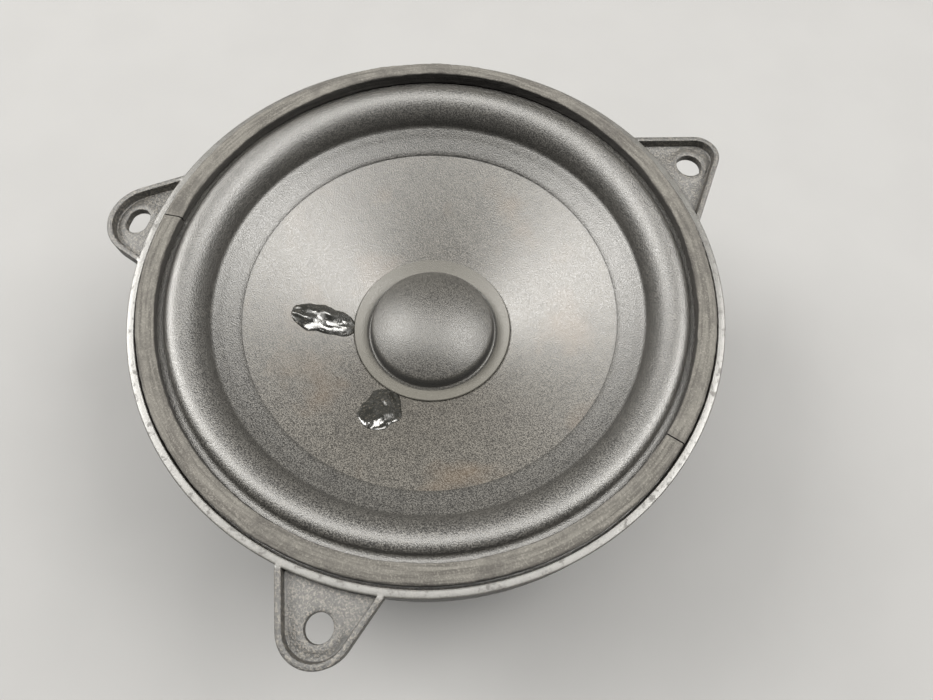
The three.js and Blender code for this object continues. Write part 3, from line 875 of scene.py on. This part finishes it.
# ---- the moving system ----
def roll_line():
    """The surround's front face from its outer lip, over the roll, to its landing on the cone."""
    landing_top = cone_z(LANDING_R) + RUBBER + 0.02
    slope = (VALLEY_Z - landing_top) / (ROLL_MID - ROLL_HALF - LANDING_R)
    line = [(LIP_R, LIP_Z), (LIP_R - 1.2, LIP_Z), (ROLL_MID + ROLL_HALF + 0.7, LIP_Z),
            (ROLL_MID + ROLL_HALF + 0.25, LIP_Z + 0.05)]
    steps = 26
    for i in range(1, steps):
        t = math.pi * i / steps
        base = LIP_Z + (VALLEY_Z - LIP_Z) * i / steps
        line.append((ROLL_MID + ROLL_HALF * math.cos(t), base + ROLL_RISE * math.sin(t) ** 0.92))
    inner = ROLL_MID - ROLL_HALF
    line.append((inner - 0.12, VALLEY_Z + 0.12))
    line.append((inner - 0.45, VALLEY_Z - 0.05))
    for i in range(1, 7):
        r = inner - 0.9 + (LANDING_R + 0.15 - inner + 0.9) * i / 6
        line.append((r, landing_top + (r - LANDING_R) * slope))
    line.append((LANDING_R, landing_top - 0.1))
    return line


def make_surround(material):
    foot = ROLL_MID + ROLL_HALF  # the roll's outer foot, where the lip begins
    lip = LIP_Z - LEDGE_Z - 0.02
    obj = lathe("surround_roll", thickened(roll_line(), lambda r: lip if r > foot + 0.6 else RUBBER))
    dress(shade(obj, 50), material, "surround_rubber", None, "surround")
    flex(obj, lambda i, p: smooth((foot - radius_of(p)) / (foot - (ROLL_MID - ROLL_HALF))))


def make_cone(material):
    collar = CONE_NECK + 0.7
    throat = CONE_NECK + 0.5
    front_steps, back_steps = 14, 10
    front = [CONE_R + (throat - CONE_R) * i / front_steps for i in range(front_steps + 1)]
    back = [collar + (CONE_R - collar) * i / back_steps for i in range(back_steps + 1)]
    profile = [(r, cone_z(r)) for r in front]
    profile += [(CONE_NECK, cone_z(CONE_NECK) - 0.1), (CONE_NECK, CONE_COLLAR_Z), (collar, CONE_COLLAR_Z)]
    profile += [(r, cone_z(r) - CONE_THICK) for r in back]
    obj = lathe("cone_shell", profile)
    dress(shade(obj), material, "cone_paper", "moving", "cone")


CAP_WALL_R = 12.4  # foot of the cap's wall
CAP_WALL = 2.9  # height of the wall
CAP_APEX = 6.5
CAP_SHOULDER_R = 11.45  # where the crown begins


def make_dust_cap(material):
    """A bowler-shaped cap: flange on the cone, short steep wall, and a shallow crown."""
    base = cone_z(CAP_WALL_R) + 0.1 + SKIN
    flange = cone_z(CAP_R) + 0.1 + SKIN
    sag = base + CAP_APEX - (base + CAP_WALL + 0.28)
    crown = (CAP_SHOULDER_R**2 + sag**2) / (2 * sag)
    line = [(CAP_R, flange - 0.2), (CAP_R - 0.12, flange - 0.04), (CAP_R - 0.4, flange - 0.2)]
    wall = [(0.75, 0.4), (0.3, 0.16), (0.16, 0.26), (0.04, 0.3), (-0.06, 0.5), (-0.25, 1.5),
            (-0.48, CAP_WALL - 0.25), (-0.66, CAP_WALL + 0.06)]  # across and up from the wall's foot
    line += [(CAP_WALL_R + out, base + up) for out, up in wall]
    steps = 18
    for i in range(steps + 1):
        r = CAP_SHOULDER_R * (1 - i / steps)
        line.append((r, base + CAP_APEX - crown + math.sqrt(crown**2 - r**2)))
    obj = lathe("dust_cap_dome", thickened(line, SKIN * 0.8))
    dress(shade(obj, 60), material, "dust_cap_paper", "moving", "dust_cap")


def make_glue(index, bead, lumps, material):
    """A lumpy bead of glue on the cone: bead is (bearing, start, end, width, height) in degrees and mm.

    lumps are (along, across, size, height) shares of the bead.
    """
    bearing, start, end, width, height = bead
    long_steps, wide_steps = 44, 26
    turn = math.radians(bearing)

    def on_cone(r, across, rise):
        x = r * math.cos(turn) - across * math.sin(turn)
        y = r * math.sin(turn) + across * math.cos(turn)
        return x, y, cone_z(math.hypot(x, y)) + rise

    rings = []
    for i in range(long_steps + 1):
        u = i / long_steps
        swell = math.sqrt(max(0.0, 1 - abs(2 * u - 1) ** 2.6))
        ragged = 1 + 0.22 * rough_noise(u * 4.5, index * 3.1, 0, 1)
        ragged += 0.05 * rough_noise(u * 14, index * 7.7, 2, 1)
        half = max(0.02, 0.5 * width * swell * ragged)
        drift = 0.16 * width * rough_noise(u * 3.1, index * 5.3, 6, 1)
        r = start + (end - start) * u
        ring = []
        for j in range(wide_steps + 1):
            v = 2 * j / wide_steps - 1
            dome = math.sqrt(max(0.0, 1 - v * v)) * swell ** 0.7
            lump = sum(h * math.exp(-(((u - a) / s) ** 2) - (((v - b) / (1.6 * s)) ** 2))
                       for a, b, s, h in lumps)
            crinkle = 0.22 * rough_noise(u * 6, v * 2.5, index, 1)
            crinkle += 0.05 * rough_noise(u * 17, v * 7, index, 1)
            rise = height * dome * (0.45 + lump + crinkle)
            ring.append(on_cone(r, drift + v * half, max(0.03, rise)))
        for j in range(wide_steps - 1, 0, -1):
            v = 2 * j / wide_steps - 1
            ring.append(on_cone(r, drift + v * half, 0.005))
        rings.append(ring)
    obj = loft(f"glue_bead_{index}", rings)
    dress(shade(obj, 80), material, "black_glue", "moving", f"lead_glue_{index}")


def make_coil(former_look, wire_look):
    (_, _, low), (former_out, _, high) = mm_box("coil_former")
    former = lathe("former_tube", rounded(block(10, former_out, low, high), 0.08, 2), 160)
    dress(shade(former), former_look, "former_polyimide", "moving", "coil_former")
    (_, _, wire_low), (wire_out, _, wire_high) = mm_box("coil_winding")
    turns, inside = 26, 10.45
    pitch = (wire_high - wire_low) / turns
    wire = pitch / 2
    profile = [(inside, wire_low + wire)]
    for i in range(turns):
        middle = wire_low + pitch * (i + 0.5)
        for k in range(5):
            a = -math.pi / 2 + math.pi * k / 4
            profile.append((wire_out - wire + wire * math.cos(a), middle + 0.96 * wire * math.sin(a)))
    profile.append((inside, wire_high - wire))
    winding = lathe("winding_turns", profile, 128)
    dress(shade(winding, 60), wire_look, "coil_copper", "moving", "coil_winding")


# ---- spider and motor ----
def make_spider(material):
    ledge = FLOOR_Z + SHELF_RISE
    line = [(27.6, ledge + 0.5), (25.4, ledge + 0.5), (24.8, ledge + 0.55)]
    steps = 60
    outer, inner = 24.6, 11.75
    glued_r = 11.5  # inside this radius the spider is stuck to the former
    middle, swing, waves = 21.1, 0.8, 3
    for i in range(steps + 1):
        t = i / steps
        line.append((outer + (inner - outer) * t, middle + swing * math.cos(t * 2 * waves * math.pi)))
    line += [(11.2, 21.8), (10.95, 21.75), (10.78, 21.35)]
    obj = lathe("spider_disc", thickened(line, 0.3), ROUND)
    dress(shade(obj, 70), material, "spider_cloth", None, "spider")
    flex(obj, lambda i, p: smooth((outer - radius_of(p)) / (outer - glued_r)))


def make_motor(steel, ferrite, rivet_look):
    hole_r = 11.5
    plate = lathe("front_plate", rounded(block(hole_r, PLATE_R, PLATE_LOW, PLATE_TOP), 0.35), ROUND)
    drill(plate, rivet_places(), PLATE_LOW - 1, PLATE_TOP + 1)
    dress(shade(plate, 30), steel, "motor_steel", "frame", "top_plate")

    def chip(r, z, turn):
        """Small bites out of the magnet's brittle edges."""
        near_edge = r > MAGNET_R - 0.9 and min(z - MAGNET_LOW, MAGNET_HIGH - z) < 0.9
        bite = max(0, rough_noise(math.cos(turn) * 14, math.sin(turn) * 14, z, 1) - 0.38) if near_edge else 0
        return r - 1.6 * bite, z

    section = rounded(block(14, MAGNET_R, MAGNET_LOW, MAGNET_HIGH), [0.4, 0.7, 0.7, 0.4], 5)
    magnet = lathe("magnet_body", section, SIDES, chip)
    dress(shade(magnet, 40), ferrite, "ferrite", "frame", "magnet_ring")

    pole = 9.6
    yoke_points = [(0, 0), (PLATE_R, 0), (PLATE_R, 3.5), (pole, 3.5), (pole, YOKE_TOP), (0, YOKE_TOP)]
    yoke = lathe("yoke_body", rounded(yoke_points, [0, 0.6, 0.35, 0.5, 0.6, 0]), ROUND)
    dress(shade(yoke, 30), steel, "motor_steel", "frame", "yoke")

    for i, (x, y) in enumerate(rivet_places(), 1):
        low, high = mm_box(f"plate_rivet_{i}")
        seat = high.z - 0.8
        points = [(0, low.z), (1.2, low.z), (1.2, seat), (2, seat), (2, seat + 0.25), (1.5, high.z - 0.08),
                  (0.75, high.z), (0.6, high.z - 0.18), (0, high.z - 0.25)]
        rivet = lathe(f"rivet_{i}", rounded(points, 0.12, 3), 48)
        dress(shade(move(rivet, x, y, 0), 40), rivet_look, "rivet_steel", "frame", f"plate_rivet_{i}")


# ---- connector and leads ----
def make_connector(housing_look, blade_look, solder_look, foam_look):
    low, high = mm_box("connector_housing")
    body = box_between("plug_housing", low, high, 0.35, 3)
    cut(body, box_between("mouth", (-7.6, low.y - 1, low.z + 1.8), (7.6, high.y - 2, high.z - 1.8), 0.3))
    cut(body, box_between("key", (-1.5, low.y - 1, high.z - 2.8), (1.5, low.y + 4, high.z + 1), 0.1))
    for x in (-6, 6):
        flute_low, flute_high = (x - 1.2, low.y + 3, high.z - 0.6), (x + 1.2, low.y + 7, high.z + 1)
        cut(body, box_between("flute", flute_low, flute_high, 0.2))
    cut_blade_slots(body, high.y - 4, high.y + 1)
    dress(shade(body, 30), housing_look, "connector_plastic", "frame", "connector_housing")

    for i in (1, 2):
        b_low, b_high = mm_box(f"terminal_blade_{i}")
        front, back, foot = b_low.y, b_high.y, b_low.z
        tip, gauge = 0.7, 0.8  # length of the tapered tip, and thickness of the metal
        outline = [(front, foot + 0.2), (front + tip, foot), (back, foot), (back, b_high.z),
                   (back - gauge, b_high.z), (back - gauge, foot + gauge), (front + tip, foot + gauge),
                   (front, foot + 0.6)]
        edge = 0.08
        levels = [(b_low.x, edge), (b_low.x + edge, 0), (b_high.x - edge, 0), (b_high.x, edge)]
        mid_y = sum(p[0] for p in outline) / len(outline)
        rings = []
        for x, inset in levels:
            rings.append([(x, y + inset * (mid_y - y) / 6, z + inset * (0.4 if z < foot + 0.4 else -0.4))
                          for y, z in outline])
        blade = loft(f"blade_{i}", rings)
        dress(shade(blade, 30), blade_look, "terminal_tin", "frame", f"terminal_blade_{i}")
        s_low, s_high = mm_box(f"solder_joint_{i}")
        joint = solder_blob(f"solder_{i}", (s_low + s_high) / 2, (s_high - s_low) / 2, i)
        dress(shade(joint, 80), solder_look, "solder", "frame", f"solder_joint_{i}")

    f_low, f_high = mm_box("connector_foam")
    foam = box_between("foam_pad", f_low, f_high, 0.35, 3)
    roughen_foam(foam)
    dress(shade(foam, 60), foam_look, "brown_foam", "frame", "connector_foam")


def solder_blob(name, centre, half, seed):
    """A domed blob of solder with a puddled, slightly lumpy skin."""
    rings = []
    for i in range(1, 16):
        polar = math.pi * i / 16
        ring = []
        for k in range(28):
            a = 2 * math.pi * k / 28
            n = Vector((math.sin(polar) * math.cos(a), math.sin(polar) * math.sin(a), math.cos(polar)))
            lump = 0.93 + 0.07 * noise.noise(n * 2.3 + Vector((seed * 3, 0, 0)))
            ring.append(tuple(centre[j] + half[j] * n[j] * lump for j in range(3)))
        rings.append(ring)
    return loft(name, rings)


def roughen_foam(obj):
    """Divides a foam block finely and pits its skin inwards."""
    bm = bmesh.new()
    bm.from_mesh(obj.data)
    bmesh.ops.subdivide_edges(bm, edges=bm.edges[:], cuts=6, use_grid_fill=True)
    bm.normal_update()
    for v in bm.verts:
        pit = abs(noise.noise(v.co / MM * 2.1)) + 0.5 * abs(noise.noise(v.co / MM * 4.7))
        v.co -= v.normal * 0.22 * pit * MM
    bm.to_mesh(obj.data)
    bm.free()


def lead_route(side):
    """The middle of a lead, from its solder joint in a slack bow up to the back of the cone, in mm."""
    blade_x, blade_back, blade_z = 3.2, -32.4, 22.6
    meet_r, meet_turn = 20.5, math.radians(CONNECTOR_SIDE + 31)
    x, y = meet_r * math.cos(meet_turn), meet_r * math.sin(meet_turn)
    top = cone_z(meet_r) - CONE_THICK - 0.3
    points = [
        (blade_x, blade_back + 1.6, blade_z + 2.2), (blade_x + 1.2, blade_back + 4.6, blade_z + 2.6),
        (blade_x + 3.6, y - 6.5, 23.7), (x - 1.3, y - 2.6, 23.9), (x - 0.1, y - 0.3, 25.6), (x, y, top),
    ]
    return [Vector((side * px, py, pz)) for px, py, pz in points]


def along(points, steps):
    """Points along a Catmull-Rom curve through points."""
    made = []
    padded = [2 * points[0] - points[1], *points, 2 * points[-1] - points[-2]]
    spans = len(points) - 1
    for k in range(steps + 1):
        t = k / steps * spans
        i = min(int(t), spans - 1)
        t -= i
        p0, p1, p2, p3 = padded[i : i + 4]
        made.append(0.5 * (2 * p1 + (p2 - p0) * t + (2 * p0 - 5 * p1 + 4 * p2 - p3) * t * t
                           + (3 * p1 - p0 - 3 * p2 + p3) * t**3))
    return made


def make_lead(index, side, material):
    """Six fine strands twisted into one flexible lead."""
    steps, strands, turns = 110, 6, 9
    core = along(lead_route(side), steps)
    lay_r, strand_r, corners = 0.34, 0.2, 7
    shares = []

    def about(normal, other, angle, radius):
        return (normal * math.cos(angle) + other * math.sin(angle)) * radius

    def make(bm):
        for s in range(strands):
            normal = Vector((0, 0, 1))
            rings = []
            for k, point in enumerate(core):
                ahead = (core[min(k + 1, steps)] - core[max(k - 1, 0)]).normalized()
                normal = (normal - ahead * normal.dot(ahead)).normalized()
                other = ahead.cross(normal)
                place = point + about(normal, other, 2 * math.pi * (s / strands + turns * k / steps), lay_r)
                ring = []
                for c in range(corners):
                    corner = place + about(normal, other, 2 * math.pi * c / corners, strand_r)
                    ring.append(bm.verts.new(corner * MM))
                    shares.append(smooth(k / steps))
                rings.append(ring)
            for here, there in zip(rings, rings[1:]):
                for c in range(corners):
                    d = (c + 1) % corners
                    bm.faces.new((here[c], here[d], there[d], there[c]))
            bm.faces.new(rings[0][::-1])
            bm.faces.new(rings[-1])
        bmesh.ops.recalc_face_normals(bm, faces=bm.faces)

    obj = new_object(f"lead_{index}", make)
    dress(shade(obj, 60), material, "tinsel_braid", None, f"tinsel_lead_{index}")
    flex(obj, lambda i, p: shares[i])


def make_tab(material):
    """A small rounded tab of translucent film beside the connector."""
    low, high = mm_box("clear_tab")
    a = math.radians(CONNECTOR_SIDE - 20)
    out = Vector((math.cos(a), math.sin(a), 0))
    side = Vector((-math.sin(a), math.cos(a), 0))
    start = out * 50.8
    half, long, root = 0.8, 4.7, 1.5
    outline = [(0.0, -half), (root, -half), (long - half, -half)]
    steps = 12
    for k in range(1, steps):
        b = -math.pi / 2 + math.pi * k / steps
        outline.append((long - half + half * math.cos(b), half * math.sin(b)))
    outline += [(long - half, half), (root, half), (0.0, half)]
    edge = 0.08
    rings = []
    for z, inset in ((low.z, 0.1), (low.z + edge, 0.0), (high.z - edge, 0.0), (high.z, 0.1)):
        ring = []
        for u, v in outline:
            place = start + out * max(u - inset * (u > 1), 0) + side * (v * (1 - inset))
            ring.append((place.x, place.y, z))
        rings.append(ring)
    obj = loft("film_tab", rings)
    dress(shade(obj, 40), material, "clear_film", "frame", "clear_tab")


# ---- assembly ----
make_camera()
make_lights()
make_floor()
make_basket(moulded_plastic())
foam = gasket_foam()
joint_a, joint_b = GASKET_JOINTS
make_gasket(1, joint_a, joint_b, foam)
make_gasket(2, joint_b, joint_a + 360, foam)
make_surround(surround_rubber())
make_cone(cone_paper())
make_dust_cap(cap_paper())
glue = glossy_glue()
make_glue(1, (-119.4, 15.2, 26.8, 6.0, 1.6),
          [(0.8, 0.2, 0.16, 0.5), (0.45, -0.3, 0.2, 0.55), (0.12, 0.3, 0.1, 0.3)], glue)
make_glue(2, (-56.3, 15.2, 25.0, 7.2, 1.5),
          [(0.25, -0.1, 0.18, 0.5), (0.6, 0.35, 0.16, 0.45), (0.88, 0.0, 0.12, 0.6)], glue)
make_coil(amber_film(), enamelled_copper())
make_spider(resin_cloth())
make_motor(plated_steel(), ground_ferrite(), plated_steel("rivet_steel", (0.6, 0.59, 0.56), 0.3))
make_connector(black_housing(), tin("terminal_tin", (0.62, 0.6, 0.55), 0.3),
               tin("solder", (0.55, 0.55, 0.55), 0.25), open_foam())
braid = tinsel_braid()
make_lead(1, -1, braid)
make_lead(2, 1, braid)
make_tab(milky_film())
